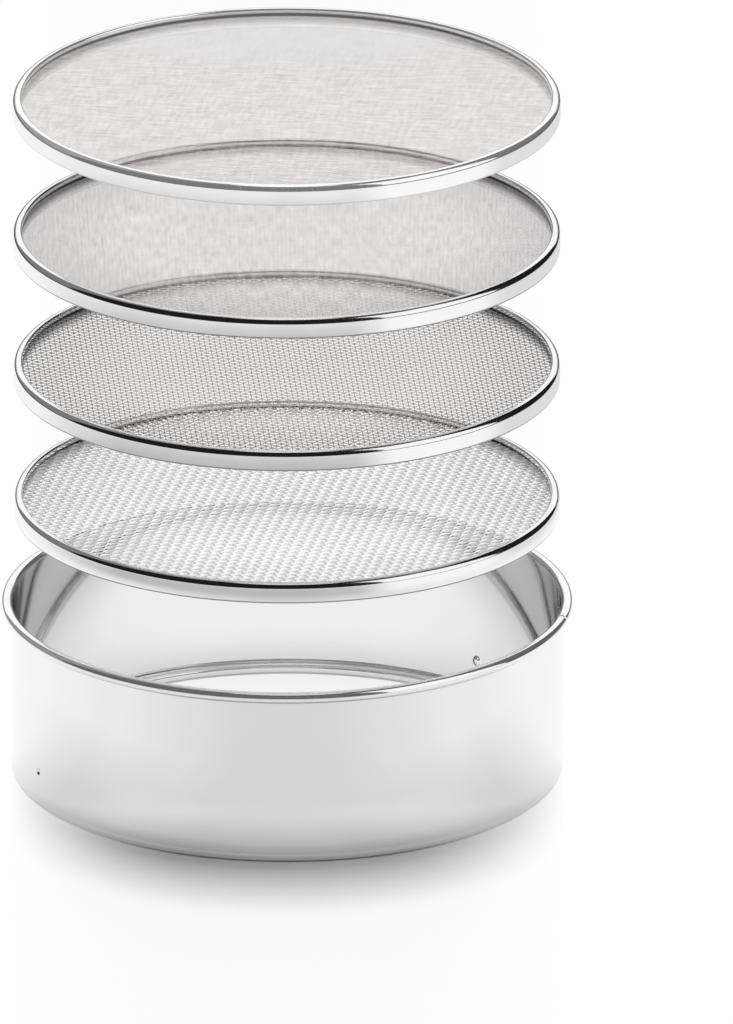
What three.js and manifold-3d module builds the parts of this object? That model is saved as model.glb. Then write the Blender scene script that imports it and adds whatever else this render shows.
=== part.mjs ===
// Flour sieve set: a deep open steel hoop and four interchangeable wire-cloth discs.
// The discs are shown lifted out, one above another over the hoop, coarsest lowest.
// Each one drops straight down into the hoop and sits on the ledge at its foot.
// Millimetres, +Z up, origin in the middle of the hoop's foot on the surface it stands on.

import * as THREE from 'three';
import { mergeVertices } from 'three/addons/utils/BufferGeometryUtils.js';
import Module from 'manifold-3d';

const wasm = await Module();
wasm.setup();

// Facets round every circle, the gap kept between pieces that touch, and how far a cutter overshoots
const ROUND_STEPS = 48;
const TOUCH_GAP = 0.3;
const CUT_OVERSHOOT = 1;
const SAME_POINT = 1e-4;

// Hoop: a strip with its top edge rolled outwards round a wire and its foot rolled inwards
const RIM_OUTER_D = 220;
const HOOP_HEIGHT = 70;
const SHEET = 0.6;
const RIM_WIRE_D = 2.6;
const LEDGE_BEAD_D = 4.4;
const RIM_JOINT_GAP = 0.4;
const RIM_JOINT_AZIMUTH = -12;
const RIM_TUCK_ANGLE = 120;
const FOOT_BEAD_FACET_ANGLE = 30;

// Dimples pressed into the hoop just above a seated disc, which keep it from lifting
const DIMPLE_D = 4;
const DIMPLE_DEPTH = 0.5;
const DIMPLE_AZIMUTHS = [46, 206];
const DIMPLE_SIDES = 12;

// Disc ring: a folded strip with a round top, a flat outer band and a slot that grips the cloth
const RING_HEIGHT = 8;
const RING_WIDTH = 3.2;
const RING_SHOULDER_R = 2.3;
const RING_FOOT_EDGE = 0.6;
const RING_LIP_BEVEL = 1;
const RING_SLOT_DEPTH = 1.5;
const RING_JOINT_GAP = 0.4;
const CLOTH_HEIGHT_IN_RING = 4.6;
const DISC_SIDE_CLEARANCE = 0.3;

// Wire cloth, drawn as a flat net: its pitch is wider than the woven one, in the same order,
// and its edge is the band where the ring's fold crushes the wire ends together
const CLOTH_THICKNESS = 1;
const CLOTH_EDGE = 0.9;
const COARSE_PITCH = 30;
const COARSE_WIRE = 2.2;
const MEDIUM_PITCH = 25;
const MEDIUM_WIRE = 1.9;
const FINE_PITCH = 21;
const FINE_WIRE = 1.6;
const EXTRA_FINE_PITCH = 18;
const EXTRA_FINE_WIRE = 1.3;
const DISCS = [
  { grade: 'coarse', pitch: COARSE_PITCH, wire: COARSE_WIRE, jointAzimuth: -5 },
  { grade: 'medium', pitch: MEDIUM_PITCH, wire: MEDIUM_WIRE, jointAzimuth: 100 },
  { grade: 'fine', pitch: FINE_PITCH, wire: FINE_WIRE, jointAzimuth: 84 },
  { grade: 'extra_fine', pitch: EXTRA_FINE_PITCH, wire: EXTRA_FINE_WIRE, jointAzimuth: 112 },
];

// Lifted-out places: from the rim up to the lowest disc, and from disc to disc
const LOWEST_DISC_LIFT = 35;
const DISC_TO_DISC_GAP = 45.6;

// Hoop sizes that follow from the ones above
const rimCurlOuterR = RIM_WIRE_D / 2 + TOUCH_GAP + SHEET;
const rimCurlInnerR = rimCurlOuterR - SHEET;
const rimCurlCentreR = RIM_OUTER_D / 2 - rimCurlOuterR;
const rimCurlCentreZ = HOOP_HEIGHT - rimCurlOuterR;
const wallInnerR = rimCurlCentreR - rimCurlOuterR;
const wallOuterR = wallInnerR + SHEET;
const ledgeBeadR = LEDGE_BEAD_D / 2;
const ledgeCentreR = wallOuterR - ledgeBeadR;

// Ring and cloth sizes that follow from the hoop
const ringOuterR = wallInnerR - DIMPLE_DEPTH - DISC_SIDE_CLEARANCE;
const ringInnerR = ringOuterR - RING_WIDTH;
const slotHeight = CLOTH_THICKNESS + 2 * TOUCH_GAP;
const slotBottomR = ringInnerR + RING_SLOT_DEPTH;
const clothR = slotBottomR - TOUCH_GAP;
const seatedRingTop = LEDGE_BEAD_D + TOUCH_GAP + RING_HEIGHT;
const dimpleZ = seatedRingTop + TOUCH_GAP + DIMPLE_D / 2;

const radians = THREE.MathUtils.degToRad;

// Points of an arc in a profile, from one angle to another in degrees, ends included
function arc(centreR, centreZ, radius, from, to, steps) {
  const points = [];
  for (let i = 0; i <= steps; i += 1) {
    const angle = radians(from + (to - from) * i / steps);
    points.push(new THREE.Vector2(centreR + radius * Math.cos(angle), centreZ + radius * Math.sin(angle)));
  }
  return points;
}

// A counter-clockwise profile of radius and height, turned round the Z axis
function revolve(profile) {
  const closed = [...profile, profile[0].clone()];
  return new THREE.LatheGeometry(closed, ROUND_STEPS).rotateX(Math.PI / 2);
}

function toSolid(geometry) {
  const bare = geometry.clone();
  bare.deleteAttribute('normal');
  bare.deleteAttribute('uv');
  const merged = mergeVertices(bare, SAME_POINT);
  const vertProperties = new Float32Array(merged.attributes.position.array);
  const triVerts = new Uint32Array(merged.index.array);
  return new wasm.Manifold(new wasm.Mesh({ numProp: 3, vertProperties, triVerts }));
}

function toGeometry(solid) {
  const mesh = solid.getMesh();
  const geometry = new THREE.BufferGeometry();
  geometry.setAttribute('position', new THREE.BufferAttribute(new Float32Array(mesh.vertProperties), 3));
  geometry.setIndex(new THREE.BufferAttribute(new Uint32Array(mesh.triVerts), 1));
  geometry.computeVertexNormals();
  return geometry;
}

// A thin upright blade that points outwards at an azimuth, for cutting a butt joint
function jointBlade(fromR, toR, fromZ, toZ, gap, azimuth) {
  const blade = new THREE.BoxGeometry(toR - fromR, gap, toZ - fromZ);
  blade.translate((fromR + toR) / 2, 0, (fromZ + toZ) / 2);
  return toSolid(blade.rotateZ(radians(azimuth)));
}

// A dome on a short stem, its axis along +X, its base plane at x = 0
function dome(diameter, height, stem) {
  const radius = diameter / 2;
  const rise = 4;
  const profile = [new THREE.Vector2(0, -stem), new THREE.Vector2(radius, -stem)];
  for (let i = 0; i < rise; i += 1) {
    const angle = radians(90 * i / rise);
    profile.push(new THREE.Vector2(radius * Math.cos(angle), height * Math.sin(angle)));
  }
  profile.push(new THREE.Vector2(0, height));
  return new THREE.LatheGeometry(profile, DIMPLE_SIDES).rotateZ(-Math.PI / 2);
}

// The rolled rim's face, from over the wall round to the edge that stops just short of it
function rimCurl(radius) {
  const overTop = arc(rimCurlCentreR, rimCurlCentreZ, radius, 180, 0, 4);
  const tuckedUnder = arc(rimCurlCentreR, rimCurlCentreZ, radius, 0, -RIM_TUCK_ANGLE, 3);
  return [...overTop, ...tuckedUnder.slice(1)];
}

// The strip's section: the foot bead with a flat facet below, the wall and the rolled rim
function hoopProfile() {
  const facet = FOOT_BEAD_FACET_ANGLE;
  const beadVertexR = ledgeBeadR / Math.cos(radians(facet / 2));
  const curledOver = -270 - facet / 2;
  const atTheWall = -facet / 2;
  return [
    ...arc(ledgeCentreR, ledgeBeadR, beadVertexR, curledOver, atTheWall, (atTheWall - curledOver) / facet),
    new THREE.Vector2(wallOuterR, rimCurlCentreZ),
    ...rimCurl(rimCurlInnerR).slice(1),
    ...rimCurl(rimCurlOuterR).reverse(),
    new THREE.Vector2(wallInnerR, ledgeBeadR),
  ];
}

function hoopBand() {
  let band = toSolid(revolve(hoopProfile()));
  const curlFoot = rimCurlCentreZ - rimCurlOuterR;
  const blade = jointBlade(wallOuterR + TOUCH_GAP / 2, RIM_OUTER_D / 2 + CUT_OVERSHOOT,
    curlFoot - CUT_OVERSHOOT, HOOP_HEIGHT + CUT_OVERSHOOT, RIM_JOINT_GAP, RIM_JOINT_AZIMUTH);
  band = band.subtract(blade);
  const flatInnerR = wallInnerR * Math.cos(Math.PI / ROUND_STEPS);
  for (const azimuth of DIMPLE_AZIMUTHS) {
    const place = (geometry, radius) => geometry
      .rotateZ(Math.PI)
      .translate(radius, 0, dimpleZ)
      .rotateZ(radians(azimuth));
    const bump = place(dome(DIMPLE_D, DIMPLE_DEPTH, SHEET / 2), flatInnerR);
    const hollow = place(dome(DIMPLE_D - SHEET, DIMPLE_DEPTH, CUT_OVERSHOOT), flatInnerR + SHEET);
    band = band.add(toSolid(bump)).subtract(toSolid(hollow));
  }
  return toGeometry(band);
}

function rimWire() {
  const sides = 6;
  const lastCorner = 360 - 360 / sides;
  return revolve(arc(rimCurlCentreR, rimCurlCentreZ, RIM_WIRE_D / 2, 0, lastCorner, sides - 1));
}

// The folded ring's section, standing on z = 0, open to the inside at the cloth's slot
function ringProfile() {
  const crestR = ringOuterR - RING_SHOULDER_R;
  const innerRoundR = crestR - ringInnerR;
  const slotFloor = CLOTH_HEIGHT_IN_RING - slotHeight / 2;
  const slotRoof = CLOTH_HEIGHT_IN_RING + slotHeight / 2;
  return [
    new THREE.Vector2(ringInnerR + RING_LIP_BEVEL, 0),
    new THREE.Vector2(ringOuterR - RING_FOOT_EDGE, 0),
    new THREE.Vector2(ringOuterR, RING_FOOT_EDGE),
    ...arc(crestR, RING_HEIGHT - RING_SHOULDER_R, RING_SHOULDER_R, 0, 90, 3),
    ...arc(crestR, RING_HEIGHT - innerRoundR, innerRoundR, 90, 180, 2).slice(1),
    new THREE.Vector2(ringInnerR, slotRoof),
    new THREE.Vector2(slotBottomR, slotRoof),
    new THREE.Vector2(slotBottomR, slotFloor),
    new THREE.Vector2(ringInnerR, slotFloor),
    new THREE.Vector2(ringInnerR, RING_LIP_BEVEL),
  ];
}

function discRing(jointAzimuth) {
  const blade = jointBlade(ringInnerR - CUT_OVERSHOOT, ringOuterR + CUT_OVERSHOOT,
    -CUT_OVERSHOOT, RING_HEIGHT + CUT_OVERSHOOT, RING_JOINT_GAP, jointAzimuth);
  return toGeometry(toSolid(revolve(ringProfile())).subtract(blade));
}

// An outline cut back to the facets of a circle of this radius
function clipRound(outline, radius) {
  const limit = radius * Math.cos(Math.PI / ROUND_STEPS);
  let kept = outline;
  for (let side = 0; side < ROUND_STEPS; side += 1) {
    const azimuth = (side + 0.5) * 2 * Math.PI / ROUND_STEPS;
    const outwards = new THREE.Vector2(Math.cos(azimuth), Math.sin(azimuth));
    const inside = [];
    kept.forEach((point, i) => {
      const next = kept[(i + 1) % kept.length];
      const here = point.dot(outwards) - limit;
      const there = next.dot(outwards) - limit;
      if (here <= 0) inside.push(point);
      if (here * there < 0) inside.push(point.clone().lerp(next, here / (here - there)));
    });
    kept = inside;
  }
  return kept;
}

// A round sheet with one square gap between each two wires of a warp and a weft
function wireCloth(pitch, wire) {
  const reach = Math.ceil(clothR / pitch);
  const half = (pitch - wire) / 2;
  const corners = [[-half, -half], [half, -half], [half, half], [-half, half]];
  const sheet = new THREE.CylinderGeometry(clothR, clothR, CLOTH_THICKNESS, ROUND_STEPS).rotateX(Math.PI / 2);
  let cloth = toSolid(sheet);
  for (let column = -reach; column < reach; column += 1) {
    for (let row = -reach; row < reach; row += 1) {
      const centre = new THREE.Vector2((column + 0.5) * pitch, (row + 0.5) * pitch);
      const square = corners.map(([x, y]) => new THREE.Vector2(x, y).add(centre));
      const gap = clipRound(square, clothR - CLOTH_EDGE);
      if (gap.length > 2 && THREE.ShapeUtils.area(gap) > wire * wire) {
        const depth = CLOTH_THICKNESS + 2 * CUT_OVERSHOOT;
        const cutter = new THREE.ExtrudeGeometry(new THREE.Shape(gap), { depth, bevelEnabled: false });
        cloth = cloth.subtract(toSolid(cutter.translate(0, 0, -depth / 2)));
      }
    }
  }
  return toGeometry(cloth.translate(0, 0, CLOTH_HEIGHT_IN_RING));
}

const polishedSteel = { color: 0xd4d5d6, roughness: 0.12, metalness: 1 };
const drawnWire = { color: 0xb9b8b6, roughness: 0.35, metalness: 1 };

function piece(name, geometry, finish) {
  const mesh = new THREE.Mesh(geometry, new THREE.MeshStandardMaterial(finish));
  mesh.name = name;
  return mesh;
}

const group = new THREE.Group();
group.add(piece('hoop_band', hoopBand(), polishedSteel));
group.add(piece('rim_wire', rimWire(), drawnWire));

DISCS.forEach(({ grade, pitch, wire, jointAzimuth }, level) => {
  const disc = new THREE.Group();
  disc.position.z = HOOP_HEIGHT + LOWEST_DISC_LIFT + level * (RING_HEIGHT + DISC_TO_DISC_GAP);
  disc.add(piece(`${grade}_ring`, discRing(jointAzimuth), polishedSteel));
  disc.add(piece(`${grade}_mesh`, wireCloth(pitch, wire), drawnWire));
  group.add(disc);
});

export default group;
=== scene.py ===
# Flour sieve set: the looks of a deep steel hoop and four wire-cloth discs lifted out above it.
# Sizes are in millimetres and angles in degrees, unless a comment says otherwise. Sizes of the hoop and
# the rings repeat the model's own, and the heights of the discs come from the frame.

import functools
import math
from collections import namedtuple
from math import radians

import bpy
import numpy as np
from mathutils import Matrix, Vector


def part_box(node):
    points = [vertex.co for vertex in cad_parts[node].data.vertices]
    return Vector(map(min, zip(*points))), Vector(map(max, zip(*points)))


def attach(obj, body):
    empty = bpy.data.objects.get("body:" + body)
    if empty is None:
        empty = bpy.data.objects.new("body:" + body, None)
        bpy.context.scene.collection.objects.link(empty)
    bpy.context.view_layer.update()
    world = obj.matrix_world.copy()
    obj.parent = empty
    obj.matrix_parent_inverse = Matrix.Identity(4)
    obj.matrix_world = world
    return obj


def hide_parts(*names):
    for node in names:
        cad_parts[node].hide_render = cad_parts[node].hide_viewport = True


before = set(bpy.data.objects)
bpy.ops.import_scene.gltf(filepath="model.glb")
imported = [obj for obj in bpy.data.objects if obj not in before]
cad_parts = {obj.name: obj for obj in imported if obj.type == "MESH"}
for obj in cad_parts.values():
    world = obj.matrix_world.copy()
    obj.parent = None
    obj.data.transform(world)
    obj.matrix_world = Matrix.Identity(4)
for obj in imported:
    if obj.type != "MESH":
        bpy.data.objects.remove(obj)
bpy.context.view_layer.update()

MM = 0.001

# Photograph's frame, and a camera far away with a long lens, which sees things between two distances in
# metres
IMAGE_W = 733
IMAGE_H = 1024
SENSOR = 36.0
LENS = 1150.0
VIEW_ELEVATION = 20.0
PIXELS_PER_MM = 2.595
AXIS_X_PIXEL = 287.2
FOOT_Y_PIXEL = 766.0
CLIP_START = 0.1
CLIP_END = 100

# Hoop. A dimple's flank is steeper the higher its number
RIM_OUTER_R = 110.0
HOOP_HEIGHT = 70.0
SHEET = 0.6
RIM_BEAD_R = 2.2
RIM_TUCK_ANGLE = 120
RIM_WIRE_R = 1.3
FOOT_BEAD_R = 2.2
FOOT_GROOVE_Z = 3.4
FOOT_GROOVE_HALF = 0.7
FOOT_GROOVE_DEPTH = 0.03
RIM_JOINT_AZIMUTH = -12
RIM_JOINT_HALF = 0.6
RIM_JOINT_DEPTH = 0.6
DIMPLE_Z = 15.0
DIMPLE_AZIMUTHS = [46, 206]
DIMPLE_BUMP_R = 2.5
DIMPLE_BUMP = 0.6
DIMPLE_PIT_R = 1.7
DIMPLE_PIT = 0.75
DIMPLE_FLANK = 1.6

# Disc rings. At a ring's joint one end drops a little, over a short reach
RING_OUTER_R = 104.8
RING_WIDTH = 3.2
RING_HEIGHT = 8.0
RING_SHOULDER_R = 2.3
RING_FOOT_EDGE = 0.6
RING_LIP_BEVEL = 1.0
RING_SLOT_DEPTH = 1.5
RING_SLOT_HEIGHT = 1.6
RING_JOINT_DROP = 0.16
RING_JOINT_DROP_REACH = 7.0
CLOTH_HEIGHT = 4.6
CLOTH_R = 102.8

# Discs from the lowest up: wire pitch and diameter, turn of the cloth, the warp's share of the weave's
# swing, place and gap of the ring's joint, facets round a wire and points along it for each pitch.
# For the ring its bare metal share, and its painted shade at the bottom edge, in the fold above the cloth
# and on the lip below it. For the wires their tint, tones of warp and weft, painted light and shade on their
# crests, azimuth, share and number to a millimetre of the streaks on warp and weft, painted highlight
# stripes along the weave's diagonal, painted shade towards the ring and in the ring's shade, and painted
# light at the back and at the front
DISCS = {
    "coarse": dict(
        pitch=2.92, wire=0.62, turn=35, crimp=0.5, joint=-5, gap=0.4, sides=5, steps=3,
        ring_metal=1.0, cut_edge=0.3, fold=0.04, lip=0.06,
        tint=(1, 1, 1), warp=0.80, weft=0.64, crest_light_and_shade=(1.0, 0.9),
        streaks=((35, 0.06, 0.6), (125, 0.06, 0.6)), stripe=0.14,
        edge=0.75, shade=0.22, lit=1.6, front_light=1.2),
    "medium": dict(
        pitch=1.98, wire=0.335, turn=4, crimp=0.6, joint=100, gap=0.1, sides=4, steps=2,
        ring_metal=1.0, cut_edge=0.3, fold=0.04, lip=0.06,
        tint=(1, 0.87, 0.85), warp=0.28, weft=0.25, crest_light_and_shade=(1.1, 1.1),
        streaks=((4, 0.1, 0.6), (94, 0.1, 0.6)), stripe=0,
        edge=0.3, shade=0.25, lit=2.6, front_light=1.2),
    "fine": dict(
        pitch=0.5, wire=0.08, turn=0, crimp=0.5, joint=84, gap=0.1, sides=4, steps=0,
        ring_metal=1.0, cut_edge=0.3, fold=0.04, lip=0.1,
        tint=(1, 0.85, 0.83), warp=0.40, weft=0.45, crest_light_and_shade=(1.0, 1.0),
        streaks=((90, 1.0, 1.1), (0, 0.5, 0.4)), stripe=0,
        edge=0.25, shade=0.35, lit=1.9, front_light=1.0),
    "extra_fine": dict(
        pitch=0.4, wire=0.056, turn=-7, crimp=0.5, joint=112, gap=0.1, sides=4, steps=0,
        ring_metal=0.85, cut_edge=0.8, fold=0.2, lip=0.35,
        tint=(1, 0.86, 0.84), warp=0.415, weft=0.43, crest_light_and_shade=(1.0, 1.0),
        streaks=((-7, 0.75, 0.6), (83, 1.0, 0.6)), stripe=0,
        edge=0.88, shade=0.75, lit=1.0, front_light=1.0),
}

# Fineness of the meshes: facets round the turned pieces, steps of the arcs in their profiles, extra facets
# at a ring's joint, and the angles below which edges look smooth
ROUND_STEPS = 480
FOOT_STEPS = 36
CURL_INNER_STEPS = 16
CURL_OUTER_STEPS = 40
RIM_WIRE_SIDES = 16
RING_EDGE_STEPS = 6
RING_SHOULDER_STEPS = 16
RING_INNER_STEPS = 8
RING_JOINT_FACETS = 8
SMOOTH_BELOW = 40
WIRE_SMOOTH_BELOW = 80

# Rows up the hoop's wall: even ones, which leave room to the finer ones at the groove and at a dimple
WALL_ROWS = 12
WALL_ROW_ROOM = 1.0
GROOVE_ROWS = 11
DIMPLE_ROWS = 21

# How far it is finer near a dimple, up the wall and round it, as shares of the dimple's radius, and near
# the rim's joint, as a share of its half width, with the spacing of the facets there
DIMPLE_ROWS_REACH = 1.3
DIMPLE_REACH = 1.2
DIMPLE_SPACING = 0.2
RIM_JOINT_REACH = 1.5
RIM_JOINT_SPACING = 0.1

# A point this near a face of the wall lies on it, and one this far outside the wall is on the rim's curl
ON_WALL = 0.01
ON_CURL = 0.05

# Tones, roughness, strength of the belt marks and bare metal shares. The rim is dull from a fade above
# the foot of its bead, and the ledge more and more between two places at the back
HOOP_TONE = 0.92
HOOP_ROUGH = 0.07
HOOP_GRAIN = 0.015
RIM_METAL = 0.9
RIM_FADE = 1.0
LEDGE_METAL = 0.8
LEDGE_DULL_Y = (72.0, 86.0)
RING_TONE = 0.95
RING_ROUGH = 0.10
RING_GRAIN = 0.04
WIRE_METAL = 0.2
WIRE_ROUGH = 0.18
BRIGHTEST_WIRE = 0.95
CORE_TONE = (0.62, 0.62, 0.61)
CORE_METAL = 1
CORE_ROUGH = 0.35

# Patterns in the steel, with scales to a millimetre, and to a radian for the belt marks' way round. Noise
# lies mostly within its span
NOISE_SPAN = (0.3, 0.7)
BELT_SCALES = (4, 2.6)
BELT_DETAIL = 6
ROUGH_SPREAD = 0.2
CLOUD_SCALE = 0.03
CLOUD_DETAIL = 2
CLOUD_SHARE = 0.02
PATCH_SCALE = 0.04
PATCH_DETAIL = 3
PATCH_SHARE = 0.06
STREAK_ALONG = 0.08
STREAK_DETAIL = 3
STREAK_SPAN = (0.32, 0.68)

# How far a ring's painted shade reaches above its cloth and at its bottom edge, where the cloth's painted
# shade towards its ring begins, and between which heights above the middle of the cloth, in wire diameters,
# the painted light and shade on a crest begins
FOLD_SHADE_REACH = (1.2, 1.9)
BOTTOM_EDGE_SHADE_REACH = (0.55, 0.8)
EDGE_SHADE_START_R = 60.0
CREST_REACH = (0.3, 0.8)

# Where light falls on a cloth: under the disc above, within a circle behind the set, where it is whiter
# and evens out the streaks, and towards the front
LIT_CENTRE_Y = 152.0
LIT_FULL_R = 98.0
LIT_END_R = 112.0
LIT_EVENNESS = 0.7
LIT_WHITENESS = 0.7
LIT_FRONT_Y = (-5.0, -60.0)

# Where a cloth lies in its ring's shade: along its edge at the back, outside a circle set to the front
SHADE_CENTRE_Y = -12.0
SHADE_START_R = 97.0
SHADE_FULL_R = 114.0

# Floor, with its half width in metres, and sky
FLOOR_HALF = 30.0
FLOOR_TONE = 0.95
SKY_LIGHT = 0.44

# Share of the floor that is plain white whatever light it gets: inside the hoop, and outside it more
# and more from the middle of the front to the two sides
GLOW_INSIDE = 0.8
GLOW_FRONT_HALF = 32.0
GLOW_SIDE_HALF = 107.0
GLOW_BEND = 2.1

# A strip of soft light from above to behind, one lamp for each length of the hoop's shadow
SHADOW_LENGTHS = [4, 13, 22, 31, 40, 49]
STRIP_LIGHT = 0.58
STRIP_SPREAD = 7

# Soft light from the camera's side that falls on the object and not on the floor
FILL_ELEVATION = 40
FILL_LIGHT = 0.7
FILL_SPREAD = 30

# Distance of the lamps in metres, and how often light bounces
LAMP_DISTANCE = 3
MAX_BOUNCES = 16
GLOSSY_BOUNCES = 12

# What mirrors see of the floor, a white table in a dark room. Inside the hoop it dims towards the wall, a
# painted shade.
# In front it dims away from the hoop, is dark past the hoop's own reach and less so farther away. At the
# sides it is brightest a little away from the hoop, and past that duller to the right, where it has one
# bright window. A turn is the cosine of the way round from the front at which one place begins to pass
# into the next, and at which it has passed. Each further bounce between mirrors loses light
TABLE_RADII = (1200, 1260)
MIRROR_ROOM = 0.02
INSIDE_RADII = (70, 104)
MIRROR_INSIDE = (0.97, 0.76)
FRONT_NEAR_RADII = (125, 168)
MIRROR_FRONT_NEAR = (1.0, 0.77)
SIDE_NEAR_RADII = (140, 215)
MIRROR_SIDE_NEAR = (0.72, 0.92)
MIRROR_BEHIND = 1.0
FRONT_RADII = (400, 870)
MIRROR_FRONT = (0.52, 0.86)
MIRROR_LEFT = 0.97
MIRROR_RIGHT = 0.77
TURN_TO_SIDE = (0.97, 0.55)
TURN_TO_FAR_LEFT = (0.4, -0.5)
TURN_TO_BACK = (0.4, -0.1)
WINDOW_AZIMUTH = 63
WINDOW_HALF = 21
WINDOW_FADE = 36
FAR_RADII = (310, 370)
BOUNCE_LOSS = 0.74

# Cards round the set, at a radius in metres, that only mirror reflections see, with azimuths from the
# camera's side to the right, elevations, and brightness: the dark room and the line of its horizon
CARD_RADIUS = 14.0
CARD_COLUMNS = 61
CARD_ROWS = 19
CARDS = {
    "room_far_left": (-150, -100, 0.3, 79, 0.2),
    "room_left": (-100, 40, 0.3, 79, 0.012),
    "room_over_window": (40, 96, 60, 79, 0.012),
    "room_right": (96, 150, 0.3, 79, 0.012),
    "room_horizon": (150, 210, 0.3, 9, 0.3),
}

wall_inner_r = RIM_OUTER_R - 2 * RIM_BEAD_R
wall_outer_r = wall_inner_r + SHEET
rim_centre = (RIM_OUTER_R - RIM_BEAD_R, HOOP_HEIGHT - RIM_BEAD_R)
foot_centre = (wall_outer_r - FOOT_BEAD_R, FOOT_BEAD_R)


# Meshes

def arc(centre, radius, start, end, steps):
    """Points of an arc in a profile of radius and height, ends included."""
    angles = np.radians(np.linspace(start, end, steps + 1))
    return [(centre[0] + radius * math.cos(angle), centre[1] + radius * math.sin(angle)) for angle in angles]


def new_object(name, points, faces, smooth_below=SMOOTH_BELOW):
    mesh = bpy.data.meshes.new(name)
    mesh.from_pydata(points, [], faces)
    mesh.polygons.foreach_set("use_smooth", [True] * len(mesh.polygons))
    mesh.set_sharp_from_angle(angle=radians(smooth_below))
    mesh.validate()
    obj = bpy.data.objects.new(name, mesh)
    bpy.context.scene.collection.objects.link(obj)
    return obj


def turned(name, profile, azimuths, z_base=0.0, shape=None, closed=True):
    """A counter-clockwise profile carried round the Z axis through these azimuths.

    shape changes the radius and height arrays, and an open turn gets its two end faces."""
    turn = np.radians(np.asarray(azimuths))[:, None]
    outline = np.asarray(profile)
    radius = np.repeat(outline[None, :, 0], len(turn), axis=0)
    height = np.repeat(outline[None, :, 1], len(turn), axis=0)
    if shape:
        radius, height = shape(radius, height, np.degrees(turn))
    points = np.stack([radius * np.cos(turn), radius * np.sin(turn), height + z_base], axis=-1) * MM
    rows, columns = radius.shape
    here = np.arange(rows if closed else rows - 1)[:, None]
    there = (here + 1) % rows
    point = np.arange(columns)[None, :]
    following = (point + 1) % columns
    corners = [here * columns + point, there * columns + point]
    corners += [there * columns + following, here * columns + following]
    faces = np.stack(corners, axis=-1).reshape(-1, 4).tolist()
    if not closed:
        faces.append(list(range(columns)))
        faces.append(list(range((rows - 1) * columns, rows * columns))[::-1])
    return new_object(name, points.reshape(-1, 3).tolist(), faces)


def even_azimuths():
    return np.arange(ROUND_STEPS) * 360 / ROUND_STEPS


def finer_near(azimuths, centre, reach, spacing, radius):
    """The azimuths with extra ones within a reach of one place on a circle."""
    span = math.degrees(reach / radius)
    extra = centre + np.arange(-span, span, math.degrees(spacing / radius))
    return np.unique(np.concatenate([azimuths, np.mod(extra, 360)]))


def away_from(azimuth, centre, radius):
    """Distance along a circle, signed."""
    return np.radians((azimuth - centre + 180) % 360 - 180) * radius


# Hoop pieces

def wall_points(radius, low, high):
    """Points up the wall at one radius, close together at the foot groove and at the dimples."""
    groove = FOOT_GROOVE_Z + FOOT_GROOVE_HALF * np.linspace(-1, 1, GROOVE_ROWS)
    dimple = DIMPLE_Z + DIMPLE_ROWS_REACH * DIMPLE_BUMP_R * np.linspace(-1, 1, DIMPLE_ROWS)
    fine = np.concatenate([groove, dimple])
    even = np.linspace(low, high, WALL_ROWS)[1:-1]
    plain = [z for z in even if np.min(np.abs(fine - z)) > WALL_ROW_ROOM]
    heights = np.sort(np.concatenate([plain, fine]))
    return [(radius, z) for z in heights if low < z < high]


def hoop_profile():
    meets_wall = math.degrees(math.acos((wall_inner_r - foot_centre[0]) / FOOT_BEAD_R))
    inner_low = foot_centre[1] + FOOT_BEAD_R * math.sin(radians(meets_wall))
    return [
        *arc(foot_centre, FOOT_BEAD_R, meets_wall, 360, FOOT_STEPS),
        *wall_points(wall_outer_r, FOOT_BEAD_R, rim_centre[1]),
        *arc(rim_centre, RIM_BEAD_R - SHEET, 180, -RIM_TUCK_ANGLE, CURL_INNER_STEPS),
        *arc(rim_centre, RIM_BEAD_R, -RIM_TUCK_ANGLE, 180, CURL_OUTER_STEPS),
        *wall_points(wall_inner_r, inner_low, rim_centre[1])[::-1],
    ]


def cap(share):
    """Height of a rounded cap from 1 at its middle to 0 at its edge."""
    dome = np.sqrt(np.clip(1 - np.clip(share, 0, 1) ** 2, 0, 1))
    return dome * np.clip(DIMPLE_FLANK - DIMPLE_FLANK * share, 0, 1)


def shape_hoop(radius, height, azimuth):
    """Presses in the dimples and the foot groove and sinks the butt joint into the rolled rim."""
    outside = np.abs(radius - wall_outer_r) < ON_WALL
    inside = np.abs(radius - wall_inner_r) < ON_WALL
    groove = np.clip(1 - ((height - FOOT_GROOVE_Z) / FOOT_GROOVE_HALF) ** 2, 0, 1)
    press = outside * groove * FOOT_GROOVE_DEPTH
    for centre in DIMPLE_AZIMUTHS:
        side = away_from(azimuth, centre, wall_inner_r)
        reach = np.sqrt(side**2 + (height - DIMPLE_Z) ** 2)
        press = press + outside * cap(reach / DIMPLE_PIT_R) * DIMPLE_PIT
        press = press + inside * cap(reach / DIMPLE_BUMP_R) * DIMPLE_BUMP
    on_curl = radius > wall_outer_r + ON_CURL
    off_joint = np.abs(away_from(azimuth, RIM_JOINT_AZIMUTH, RIM_OUTER_R)) / RIM_JOINT_HALF
    sink = on_curl * np.clip(1 - off_joint, 0, 1) * RIM_JOINT_DEPTH / RIM_BEAD_R
    sunk_radius = radius - press + (rim_centre[0] - radius) * sink
    sunk_height = height + (rim_centre[1] - height) * sink
    return sunk_radius, sunk_height


def make_hoop():
    azimuths = even_azimuths()
    for centre in DIMPLE_AZIMUTHS:
        azimuths = finer_near(azimuths, centre, DIMPLE_REACH * DIMPLE_BUMP_R, DIMPLE_SPACING, wall_inner_r)
    joint_reach = RIM_JOINT_REACH * RIM_JOINT_HALF
    azimuths = finer_near(azimuths, RIM_JOINT_AZIMUTH, joint_reach, RIM_JOINT_SPACING, RIM_OUTER_R)
    return turned("hoop_shell", hoop_profile(), azimuths, shape=shape_hoop)


def make_core():
    """The wire inside the rolled rim, hidden there and so with half as many facets."""
    last = 360 - 360 / RIM_WIRE_SIDES
    profile = arc(rim_centre, RIM_WIRE_R, 0, last, RIM_WIRE_SIDES - 1)
    return turned("rim_core_wire", profile, even_azimuths()[::2])


# Disc pieces

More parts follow.
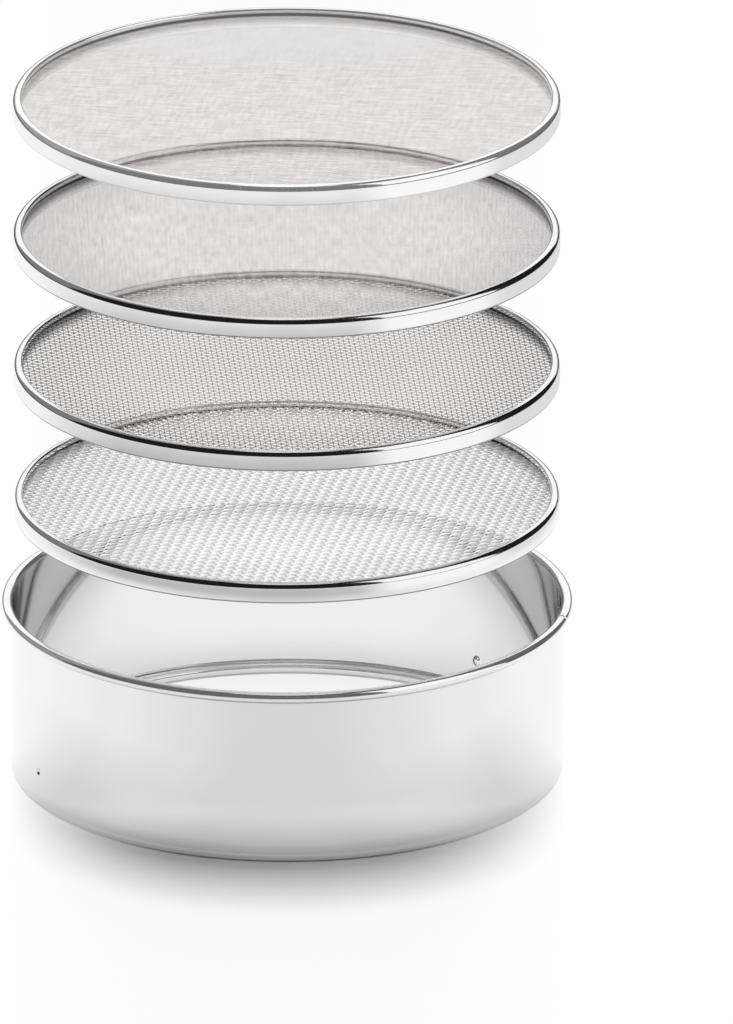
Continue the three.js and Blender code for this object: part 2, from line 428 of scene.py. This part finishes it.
def ring_profile():
    inner_r = RING_OUTER_R - RING_WIDTH
    crest_r = RING_OUTER_R - RING_SHOULDER_R
    inner_round = crest_r - inner_r
    slot_low = CLOTH_HEIGHT - RING_SLOT_HEIGHT / 2
    slot_high = CLOTH_HEIGHT + RING_SLOT_HEIGHT / 2
    foot = (RING_OUTER_R - RING_FOOT_EDGE, RING_FOOT_EDGE)
    lip = (inner_r + RING_LIP_BEVEL, RING_LIP_BEVEL)
    shoulder = (crest_r, RING_HEIGHT - RING_SHOULDER_R)
    return [
        *arc(lip, RING_LIP_BEVEL, 180, 270, RING_EDGE_STEPS),
        *arc(foot, RING_FOOT_EDGE, 270, 360, RING_EDGE_STEPS),
        *arc(shoulder, RING_SHOULDER_R, 0, 90, RING_SHOULDER_STEPS),
        *arc((crest_r, RING_HEIGHT - inner_round), inner_round, 90, 180, RING_INNER_STEPS)[1:],
        (inner_r, slot_high),
        (inner_r + RING_SLOT_DEPTH, slot_high),
        (inner_r + RING_SLOT_DEPTH, slot_low),
        (inner_r, slot_low),
    ]


def make_ring(grade, disc, z_base):
    """One folded ring, open at its butt joint, where one end stands a little lower than the other."""
    half_gap = math.degrees(disc["gap"] / 2 / RING_OUTER_R)
    start = disc["joint"] + half_gap
    even = np.linspace(start, disc["joint"] + 360 - half_gap, ROUND_STEPS)
    drop_span = math.degrees(RING_JOINT_DROP_REACH / RING_OUTER_R)
    near = start + np.linspace(0, drop_span, RING_JOINT_FACETS + 1)[1:]
    azimuths = np.unique(np.concatenate([even, near]))

    def shape(radius, height, azimuth):
        past = np.radians(azimuth - start) * RING_OUTER_R
        drop = RING_JOINT_DROP * np.clip(1 - past / RING_JOINT_DROP_REACH, 0, 1) ** 2
        return radius - drop, height - drop * (height > CLOTH_HEIGHT)

    return turned(f"{grade}_ring_shell", ring_profile(), azimuths, z_base, shape, closed=False)


def tube_faces(base, rows, sides):
    """Faces of a closed tube whose points lie round it row by row, from this number on."""
    here = base + np.arange(rows - 1)[:, None] * sides
    side = np.arange(sides)[None, :]
    following = (side + 1) % sides
    corners = [here + side, here + following, here + sides + following, here + sides + side]
    walls = np.stack(corners, axis=-1).reshape(-1, 4).tolist()
    first_end = list(range(base, base + sides))
    last_end = list(range(base + (rows - 1) * sides, base + rows * sides))
    return [*walls, first_end[::-1], last_end]


def make_wires(name, disc, z_mid, across):
    """All the wires that run one way, as one mesh of closed tubes bent over and under each other.

    Wires too fine to show their bends stay straight, the warp below the weft."""
    pitch = disc["pitch"]
    wire = disc["wire"]
    sides = disc["sides"]
    steps = disc["steps"]
    if steps:
        level = 0
        swing = wire * (1 - disc["crimp"] if across else disc["crimp"])
    else:
        level = wire / 2 if across else -wire / 2
        swing = 0
    angles = (np.arange(sides) + 0.5) * 2 * math.pi / sides
    circle = np.stack([np.cos(angles), np.sin(angles)], axis=-1) * wire / 2
    turn = radians(disc["turn"] + (90 if across else 0))
    count = int((CLOTH_R - wire) / pitch)
    points = []
    faces = []
    base = 0
    for index in range(-count, count + 1):
        offset = index * pitch
        reach = math.sqrt(CLOTH_R**2 - offset**2)
        along = np.array([-reach, reach])
        if steps:
            last = int(reach / pitch * steps)
            bends = np.arange(-last, last + 1) * pitch / steps
            along = np.unique(np.concatenate([along, bends]))
        rows = len(along)
        wave = math.pi * (along / pitch + index + (1 if across else 0))
        rise = level + swing * np.cos(wave)
        lean = np.arctan(-swing * math.pi / pitch * np.sin(wave))
        x = along[:, None] - np.sin(lean)[:, None] * circle[None, :, 1]
        y = offset + np.repeat(circle[None, :, 0], rows, axis=0)
        z = rise[:, None] + np.cos(lean)[:, None] * circle[None, :, 1] + z_mid
        turned_x = x * math.cos(turn) - y * math.sin(turn)
        turned_y = x * math.sin(turn) + y * math.cos(turn)
        points.append(np.stack([turned_x, turned_y, z], axis=-1).reshape(-1, 3) * MM)
        faces.extend(tube_faces(base, rows, sides))
        base += rows * sides
    return new_object(name, np.concatenate(points).tolist(), faces, WIRE_SMOOTH_BELOW)


# Materials

Place = namedtuple("Place", "vector x y z angle radius")
Steel = namedtuple("Steel", "material shading shader place colour")


class Shading:
    """A node tree, with short ways to add nodes to it. A value is a constant or another node's socket."""

    def __init__(self, tree):
        self.nodes = tree.nodes
        self.links = tree.links

    def put(self, value, socket):
        if isinstance(value, bpy.types.NodeSocket):
            self.links.new(value, socket)
        else:
            socket.default_value = value

    def math(self, operation, first, second=0):
        node = self.nodes.new("ShaderNodeMath")
        node.operation = operation
        self.put(first, node.inputs[0])
        self.put(second, node.inputs[1])
        return node.outputs[0]

    def product(self, *factors):
        return functools.reduce(lambda first, second: self.math("MULTIPLY", first, second), factors)

    def largest(self, *values):
        return functools.reduce(lambda first, second: self.math("MAXIMUM", first, second), values)

    def mixed(self, first, second, share):
        """From the first to the second value by a share from 0 to 1."""
        gap = self.math("SUBTRACT", second, first)
        return self.math("ADD", first, self.product(gap, share))

    def ranged(self, value, from_low, from_high, to_low, to_high):
        """A value carried over from one range to another, and no farther than its ends."""
        node = self.nodes.new("ShaderNodeMapRange")
        node.inputs["From Min"].default_value = from_low
        node.inputs["From Max"].default_value = from_high
        node.inputs["To Min"].default_value = to_low
        node.inputs["To Max"].default_value = to_high
        self.put(value, node.inputs["Value"])
        return node.outputs["Result"]

    def vector(self, operation, first, second):
        node = self.nodes.new("ShaderNodeVectorMath")
        node.operation = operation
        self.put(first, node.inputs[0])
        self.put(second, node.inputs[1])
        return node.outputs

    def scaled(self, vector, amount):
        """A vector or a colour times an amount."""
        node = self.nodes.new("ShaderNodeVectorMath")
        node.operation = "SCALE"
        self.put(vector, node.inputs[0])
        self.put(amount, node.inputs["Scale"])
        return node.outputs[0]

    def split(self, vector):
        node = self.nodes.new("ShaderNodeSeparateXYZ")
        self.put(vector, node.inputs[0])
        return node.outputs

    def place(self):
        """Place on the object in millimetres, also as the way round the axis and the distance from it."""
        texture = self.nodes.new("ShaderNodeTexCoord")
        vector = self.scaled(texture.outputs["Object"], 1 / MM)
        x, y, z = self.split(vector)
        angle = self.math("ARCTAN2", y, x)
        radius = self.math("SQRT", self.math("ADD", self.product(x, x), self.product(y, y)))
        return Place(vector, x, y, z, angle, radius)

    def spun(self, vector, azimuth):
        """Coordinates along and across an azimuth."""
        spin = self.nodes.new("ShaderNodeVectorRotate")
        spin.rotation_type = "Z_AXIS"
        spin.inputs["Angle"].default_value = -radians(azimuth)
        self.put(vector, spin.inputs["Vector"])
        parts = self.split(spin.outputs[0])
        return parts["X"], parts["Y"]

    def distance_from(self, vector, centre_y):
        """Distance on the level from a point on the Y axis."""
        level = self.vector("MULTIPLY", vector, (1, 1, 0))["Vector"]
        return self.vector("DISTANCE", level, (0, centre_y, 0))["Value"]

    def noise(self, vector, scale, detail):
        texture = self.nodes.new("ShaderNodeTexNoise")
        texture.inputs["Scale"].default_value = scale
        texture.inputs["Detail"].default_value = detail
        self.put(vector, texture.inputs["Vector"])
        return texture.outputs["Fac"]

    def streaks(self, along, across, along_scale, across_scale, detail):
        """Noise on two coordinates that are scaled each for itself."""
        join = self.nodes.new("ShaderNodeCombineXYZ")
        self.put(self.product(along, along_scale), join.inputs["X"])
        self.put(self.product(across, across_scale), join.inputs["Y"])
        return self.noise(join.outputs[0], 1, detail)

    def seen_directly(self):
        """1 for camera, mirror and see-through rays, so that these all show the same white."""
        path = self.nodes.new("ShaderNodeLightPath")
        rays = ("Is Camera Ray", "Is Glossy Ray", "Is Transmission Ray")
        return self.largest(*(path.outputs[ray] for ray in rays))


def new_material(name):
    material = bpy.data.materials.new(name)
    material.use_nodes = True
    return material, Shading(material.node_tree), material.node_tree.nodes["Principled BSDF"]


def polished_steel(name, tone, rough, grain):
    """Polished sheet with faint belt marks that run round it, and the means to tone it further."""
    material, shading, shader = new_material(name)
    place = shading.place()
    belt = shading.streaks(place.angle, place.z, *BELT_SCALES, BELT_DETAIL)
    least_rough = rough * (1 - ROUGH_SPREAD)
    most_rough = rough * (1 + ROUGH_SPREAD)
    shading.put(shading.ranged(belt, *NOISE_SPAN, least_rough, most_rough), shader.inputs["Roughness"])
    cloud = shading.noise(place.vector, CLOUD_SCALE, CLOUD_DETAIL)
    marks = shading.ranged(belt, *NOISE_SPAN, 1 - grain, 1)
    clouds = shading.ranged(cloud, *NOISE_SPAN, 1 - CLOUD_SHARE, 1)
    colour = shading.scaled((tone, tone, tone), shading.product(marks, clouds))
    shading.put(colour, shader.inputs["Base Color"])
    return Steel(material, shading, shader, place, colour)


def hoop_steel():
    """The hoop's sheet, bare metal on its wall, duller on the rolled rim and on the ledge at the back."""
    steel = polished_steel("hoop_steel", HOOP_TONE, HOOP_ROUGH, HOOP_GRAIN)
    shading = steel.shading
    place = steel.place
    rim_low = rim_centre[1] - RIM_BEAD_R
    rim = shading.ranged(place.z, rim_low, rim_low + RIM_FADE, 1, RIM_METAL)
    ledge = shading.ranged(place.y, *LEDGE_DULL_Y, 1, LEDGE_METAL)
    on_wall = shading.math("GREATER_THAN", place.radius, wall_inner_r - SHEET / 2)
    above = shading.math("GREATER_THAN", place.z, 2 * FOOT_BEAD_R + SHEET)
    ledge = shading.largest(ledge, on_wall, above)
    shading.put(shading.math("MINIMUM", rim, ledge), steel.shader.inputs["Metallic"])
    return steel.material


def ring_steel(grade, disc, ring_low):
    """A ring's sheet with painted shade above where the cloth goes in, at its bottom edge and on the lip
    under the cloth, where it is also dull.
    """
    steel = polished_steel(f"{grade}_ring_steel", RING_TONE, RING_ROUGH, RING_GRAIN)
    shading = steel.shading
    height = steel.place.z
    cloth = ring_low + CLOTH_HEIGHT
    cloth_low = cloth - RING_SLOT_HEIGHT / 4
    below = shading.math("LESS_THAN", height, cloth_low)
    above = shading.math("SUBTRACT", 1, below)
    outer = shading.math("GREATER_THAN", steel.place.radius, RING_OUTER_R - RING_WIDTH / 2)
    inner = shading.math("SUBTRACT", 1, outer)
    # Painted shade on the ring's inner face just above the cloth.
    fold = shading.ranged(height, *(cloth + reach for reach in FOLD_SHADE_REACH), disc["fold"], 1)
    fold = shading.largest(fold, below)
    # Painted shade on the lip under the cloth, darkest next to the cloth.
    lip = shading.ranged(height, ring_low + RING_LIP_BEVEL, cloth_low, 1, disc["lip"])
    lip = shading.largest(lip, above)
    shade = shading.largest(shading.product(fold, lip), outer)
    # Painted dark line along the bottom edge, standing in for the darker things it mirrors below.
    edge = shading.ranged(height, *(ring_low + reach for reach in BOTTOM_EDGE_SHADE_REACH), disc["cut_edge"], 1)
    edge = shading.largest(edge, inner)
    colour = shading.scaled(steel.colour, shading.product(shade, edge))
    shading.put(colour, steel.shader.inputs["Base Color"])
    under = shading.product(below, inner)
    shading.put(shading.ranged(under, 0, 1, disc["ring_metal"], 0), steel.shader.inputs["Metallic"])
    return steel.material


def wire_steel(name, metal, rough):
    """Drawn steel wire without a colour yet."""
    material, shading, shader = new_material(name)
    shader.inputs["Metallic"].default_value = metal
    shader.inputs["Roughness"].default_value = rough
    return material, shading, shader, shading.place()


def patches(shading, place):
    """Faint darker patches on a wire."""
    noise = shading.noise(place.vector, PATCH_SCALE, PATCH_DETAIL)
    return shading.ranged(noise, *NOISE_SPAN, 1 - PATCH_SHARE, 1)


def core_steel():
    material, shading, shader, place = wire_steel("rim_wire_steel", CORE_METAL, CORE_ROUGH)
    shading.put(shading.scaled(CORE_TONE, patches(shading, place)), shader.inputs["Base Color"])
    return material


def wire_streaks(shading, place, disc, across, under):
    """Streaks that change from wire to wire, less so where light falls under the disc above."""
    azimuth, share, number = disc["streaks"][across]
    x, y = shading.spun(place.vector, azimuth)
    streak = shading.streaks(x, y, STREAK_ALONG, number, STREAK_DETAIL)
    streak = shading.ranged(streak, *STREAK_SPAN, 1 - share, 1 + share)
    return shading.mixed(streak, 1, shading.product(under, LIT_EVENNESS))


def weave_highlight_stripes(shading, place, disc):
    """Painted highlights: brighter stripes along the weave's diagonal."""
    x, y = shading.spun(place.vector, disc["turn"])
    step = shading.product(shading.math("SUBTRACT", x, y), math.pi / disc["pitch"])
    stripe = shading.math("COSINE", step)
    return shading.ranged(stripe, -1, 1, 1 - disc["stripe"], 1 + disc["stripe"])


def cloth_steel(name, disc, cloth_mid, across):
    """The wires of a cloth that run one way, with their streaks, painted highlight stripes, patches and
    painted light and shade on their crests.

    They have painted shade near the ring, and painted light at the back, under the disc above, and at the
    front."""
    material, shading, shader, place = wire_steel(name, WIRE_METAL, WIRE_ROUGH)
    tone = disc["weft" if across else "warp"]
    behind = shading.distance_from(place.vector, LIT_CENTRE_Y)
    under = shading.ranged(behind, LIT_FULL_R, LIT_END_R, 1, 0)
    lit = shading.ranged(under, 0, 1, 1, disc["lit"])
    # Painted light, brighter towards the front.
    front_light = shading.ranged(place.y, *LIT_FRONT_Y, 1, disc["front_light"])
    ahead = shading.distance_from(place.vector, SHADE_CENTRE_Y)
    shade = shading.ranged(ahead, SHADE_START_R, SHADE_FULL_R, 1, disc["shade"])
    # Painted shade on the cloth near its ring, none where light falls under the disc above.
    edge = shading.ranged(place.radius, EDGE_SHADE_START_R, CLOTH_R, 1, disc["edge"])
    edge = shading.largest(shading.product(edge, shade), under)
    # Painted light and shade on the tops of the wires.
    crest_low, crest_high = (cloth_mid + reach * disc["wire"] for reach in CREST_REACH)
    crest = shading.ranged(place.z, crest_low, crest_high, 1, disc["crest_light_and_shade"][across])
    streaks = wire_streaks(shading, place, disc, across, under)
    stripes = weave_highlight_stripes(shading, place, disc)
    amount = shading.product(streaks, stripes, patches(shading, place), edge, crest, lit, front_light)
    amount = shading.math("MINIMUM", amount, BRIGHTEST_WIRE / tone)
    plain = [part * tone for part in disc["tint"]]
    to_white = [(1 - part) * tone * LIT_WHITENESS for part in disc["tint"]]
    colour = shading.vector("ADD", plain, shading.scaled(to_white, under))["Vector"]
    shading.put(shading.scaled(colour, amount), shader.inputs["Base Color"])
    return material


def glow_material(name, level):
    material, shading, shader = new_material(name)
    shading.nodes.remove(shader)
    glow = shading.nodes.new("ShaderNodeEmission")
    glow.inputs["Color"].default_value = (level, level, level, 1)
    shading.put(glow.outputs[0], shading.nodes["Material Output"].inputs["Surface"])
    return material


# Stage

def grid_faces(rows, columns):
    faces = []
    for i in range(rows - 1):
        for j in range(columns - 1):
            low = i * columns + j
            high = low + columns
            faces.append([low, high, high + 1, low + 1])
    return faces


def mirror_only(obj, level):
    obj.data.materials.append(glow_material(obj.name, level))
    obj.visible_camera = False
    obj.visible_diffuse = False
    obj.visible_shadow = False
    obj.visible_transmission = False


def make_cards():
    for name, (left, right, low, high, level) in CARDS.items():
        points = []
        for azimuth in np.radians(np.linspace(left, right, CARD_COLUMNS)):
            for elevation in np.radians(np.linspace(low, high, CARD_ROWS)):
                x = math.cos(elevation) * math.sin(azimuth)
                y = -math.cos(elevation) * math.cos(azimuth)
                points.append(Vector((x, y, math.sin(elevation))) * CARD_RADIUS)
        mirror_only(new_object(name, points, grid_faces(CARD_COLUMNS, CARD_ROWS)), level)


def mirrored_floor(shading, place, bounces):
    """Share of the floor's white that mirrors see, by the way round from the camera's side."""
    from_front = shading.math("COSINE", shading.math("ADD", place.angle, math.pi / 2))
    to_side = shading.ranged(from_front, *TURN_TO_SIDE, 0, 1)
    to_left = shading.ranged(from_front, *TURN_TO_FAR_LEFT, 0, 1)
    to_back = shading.ranged(from_front, *TURN_TO_BACK, 0, 1)
    front_near = shading.ranged(place.radius, *FRONT_NEAR_RADII, *MIRROR_FRONT_NEAR)
    side_near = shading.ranged(place.radius, *SIDE_NEAR_RADII, *MIRROR_SIDE_NEAR)
    side_near = shading.mixed(side_near, MIRROR_BEHIND, to_back)
    near = shading.mixed(front_near, side_near, to_side)
    front_far = shading.ranged(place.radius, *FRONT_RADII, *MIRROR_FRONT)
    side_far = shading.ranged(place.x, -wall_outer_r, wall_outer_r, MIRROR_LEFT, MIRROR_RIGHT)
    right = shading.math("GREATER_THAN", place.x, 0)
    far = shading.mixed(front_far, side_far, shading.mixed(to_left, to_side, right))
    to_far = shading.ranged(place.radius, *FAR_RADII, 0, 1)
    level = shading.mixed(near, far, to_far)
    off = shading.math("SUBTRACT", place.angle, radians(WINDOW_AZIMUTH - 90))
    off = shading.math("ABSOLUTE", off)
    window = shading.ranged(off, radians(WINDOW_HALF), radians(WINDOW_FADE), 1, 0)
    level = shading.mixed(level, 1, shading.product(window, to_far))
    within = shading.ranged(place.radius, *INSIDE_RADII, *MIRROR_INSIDE)
    inside = shading.math("LESS_THAN", place.radius, wall_inner_r)
    level = shading.mixed(level, within, inside)
    table = shading.ranged(place.radius, *TABLE_RADII, 1, MIRROR_ROOM)
    loss = shading.math("POWER", BOUNCE_LOSS, shading.math("SUBTRACT", bounces, 1))
    return shading.product(level, table, loss)


def floor_glow(shading, place):
    """Share of the floor that is plain white, whole at the two sides of the hoop."""
    side = shading.math("ABSOLUTE", place.x)
    outside = shading.ranged(side, GLOW_FRONT_HALF, GLOW_SIDE_HALF, 0, 1)
    outside = shading.math("POWER", outside, GLOW_BEND)
    ledge_r = foot_centre[0] - FOOT_BEAD_R
    inside = shading.ranged(place.radius, ledge_r, foot_centre[0], GLOW_INSIDE, 0)
    return shading.largest(outside, inside)


def floor_white():
    material, shading, shader = new_material("floor_white")
    shading.nodes.remove(shader)
    place = shading.place()
    path = shading.nodes.new("ShaderNodeLightPath")
    level = mirrored_floor(shading, place, path.outputs["Glossy Depth"])
    level = shading.mixed(1, level, path.outputs["Is Glossy Ray"])
    diffuse = shading.nodes.new("ShaderNodeBsdfDiffuse")
    shading.put(shading.scaled((FLOOR_TONE, FLOOR_TONE, FLOOR_TONE), level), diffuse.inputs["Color"])
    glow = shading.nodes.new("ShaderNodeEmission")
    shading.put(shading.scaled((1, 1, 1), level), glow.inputs["Color"])
    mix = shading.nodes.new("ShaderNodeMixShader")
    shading.put(shading.product(shading.seen_directly(), floor_glow(shading, place)), mix.inputs[0])
    shading.put(diffuse.outputs[0], mix.inputs[1])
    shading.put(glow.outputs[0], mix.inputs[2])
    shading.put(mix.outputs[0], shading.nodes["Material Output"].inputs["Surface"])
    return material


def make_floor():
    corners = [(-1, -1), (1, -1), (1, 1), (-1, 1)]
    floor = new_object("floor", [(x * FLOOR_HALF, y * FLOOR_HALF, 0) for x, y in corners], [[0, 1, 2, 3]])
    floor.data.materials.append(floor_white())


def make_world():
    world = bpy.data.worlds.new("studio")
    world.use_nodes = True
    bpy.context.scene.world = world
    shading = Shading(world.node_tree)
    background = shading.nodes["Background"]
    background.inputs["Color"].default_value = (1, 1, 1, 1)
    strength = shading.ranged(shading.seen_directly(), 0, 1, SKY_LIGHT, 1)
    shading.put(strength, background.inputs["Strength"])


def make_sun(name, toward, strength, spread):
    data = bpy.data.lights.new(name, "SUN")
    data.energy = strength
    data.angle = radians(spread)
    lamp = bpy.data.objects.new(name, data)
    lamp.location = toward * LAMP_DISTANCE
    lamp.rotation_mode = "QUATERNION"
    lamp.rotation_quaternion = toward.to_track_quat("Z", "Y")
    lamp.visible_glossy = False
    bpy.context.scene.collection.objects.link(lamp)
    return lamp


def make_strip():
    """Lamps that together give a level surface STRIP_LIGHT of full white, each an even part of it."""
    for length in SHADOW_LENGTHS:
        toward = Vector((0, length, HOOP_HEIGHT)).normalized()
        share = STRIP_LIGHT / len(SHADOW_LENGTHS)
        make_sun(f"strip_{length}", toward, share * math.pi / toward.z, STRIP_SPREAD)


def make_fill(pieces):
    elevation = radians(FILL_ELEVATION)
    toward = Vector((0, -math.cos(elevation), math.sin(elevation)))
    lamp = make_sun("fill", toward, FILL_LIGHT * math.pi, FILL_SPREAD)
    lit = bpy.data.collections.new("lit_by_fill")
    for piece in pieces:
        lit.objects.link(piece)
    lamp.light_linking.receiver_collection = lit


def make_camera():
    data = bpy.data.cameras.new("camera")
    data.lens = LENS
    data.sensor_width = SENSOR
    data.clip_start = CLIP_START
    data.clip_end = CLIP_END
    distance = LENS / SENSOR * IMAGE_H / PIXELS_PER_MM * MM
    elevation = radians(VIEW_ELEVATION)
    toward = Vector((0, math.cos(elevation), -math.sin(elevation)))
    up = Vector((0, math.sin(elevation), math.cos(elevation)))
    aim = Vector((IMAGE_W / 2 - AXIS_X_PIXEL, 0, 0)) + up * (FOOT_Y_PIXEL - IMAGE_H / 2)
    camera = bpy.data.objects.new("camera", data)
    camera.location = aim * MM / PIXELS_PER_MM - toward * distance
    camera.rotation_mode = "QUATERNION"
    camera.rotation_quaternion = toward.to_track_quat("-Z", "Y")
    bpy.context.scene.collection.objects.link(camera)
    bpy.context.scene.camera = camera


# Object

def dress(obj, material, body, node):
    obj.data.materials.append(material)
    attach(obj, body)
    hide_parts(node)


def hang(obj):
    """A disc piece, lifted out above the hoop, casts no shadow and throws no light on what lies below."""
    obj.visible_shadow = False
    obj.visible_diffuse = False


def make_object():
    """Makes every piece, and returns those that the fill light falls on."""
    hoop = make_hoop()
    core = make_core()
    dress(hoop, hoop_steel(), "hoop", "hoop_band")
    dress(core, core_steel(), "hoop", "rim_wire")
    hung = []
    for grade, disc in DISCS.items():
        z_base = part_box(f"{grade}_ring")[0].z / MM
        cloth_mid = z_base + CLOTH_HEIGHT
        body = f"{grade}_disc"
        ring = make_ring(grade, disc, z_base)
        dress(ring, ring_steel(grade, disc, z_base), body, f"{grade}_ring")
        hung.append(ring)
        for way, across in (("warp", False), ("weft", True)):
            wires = make_wires(f"{grade}_{way}", disc, cloth_mid, across)
            steel = cloth_steel(f"{grade}_{way}_wire", disc, cloth_mid, across)
            dress(wires, steel, body, f"{grade}_mesh")
            hung.append(wires)
    for piece in hung:
        hang(piece)
    return [hoop, *hung]


make_camera()
lit_pieces = make_object()
make_floor()
make_world()
make_cards()
make_strip()
make_fill(lit_pieces)
bpy.context.scene.view_settings.view_transform = "Standard"
bpy.context.scene.cycles.max_bounces = MAX_BOUNCES
bpy.context.scene.cycles.glossy_bounces = GLOSSY_BOUNCES
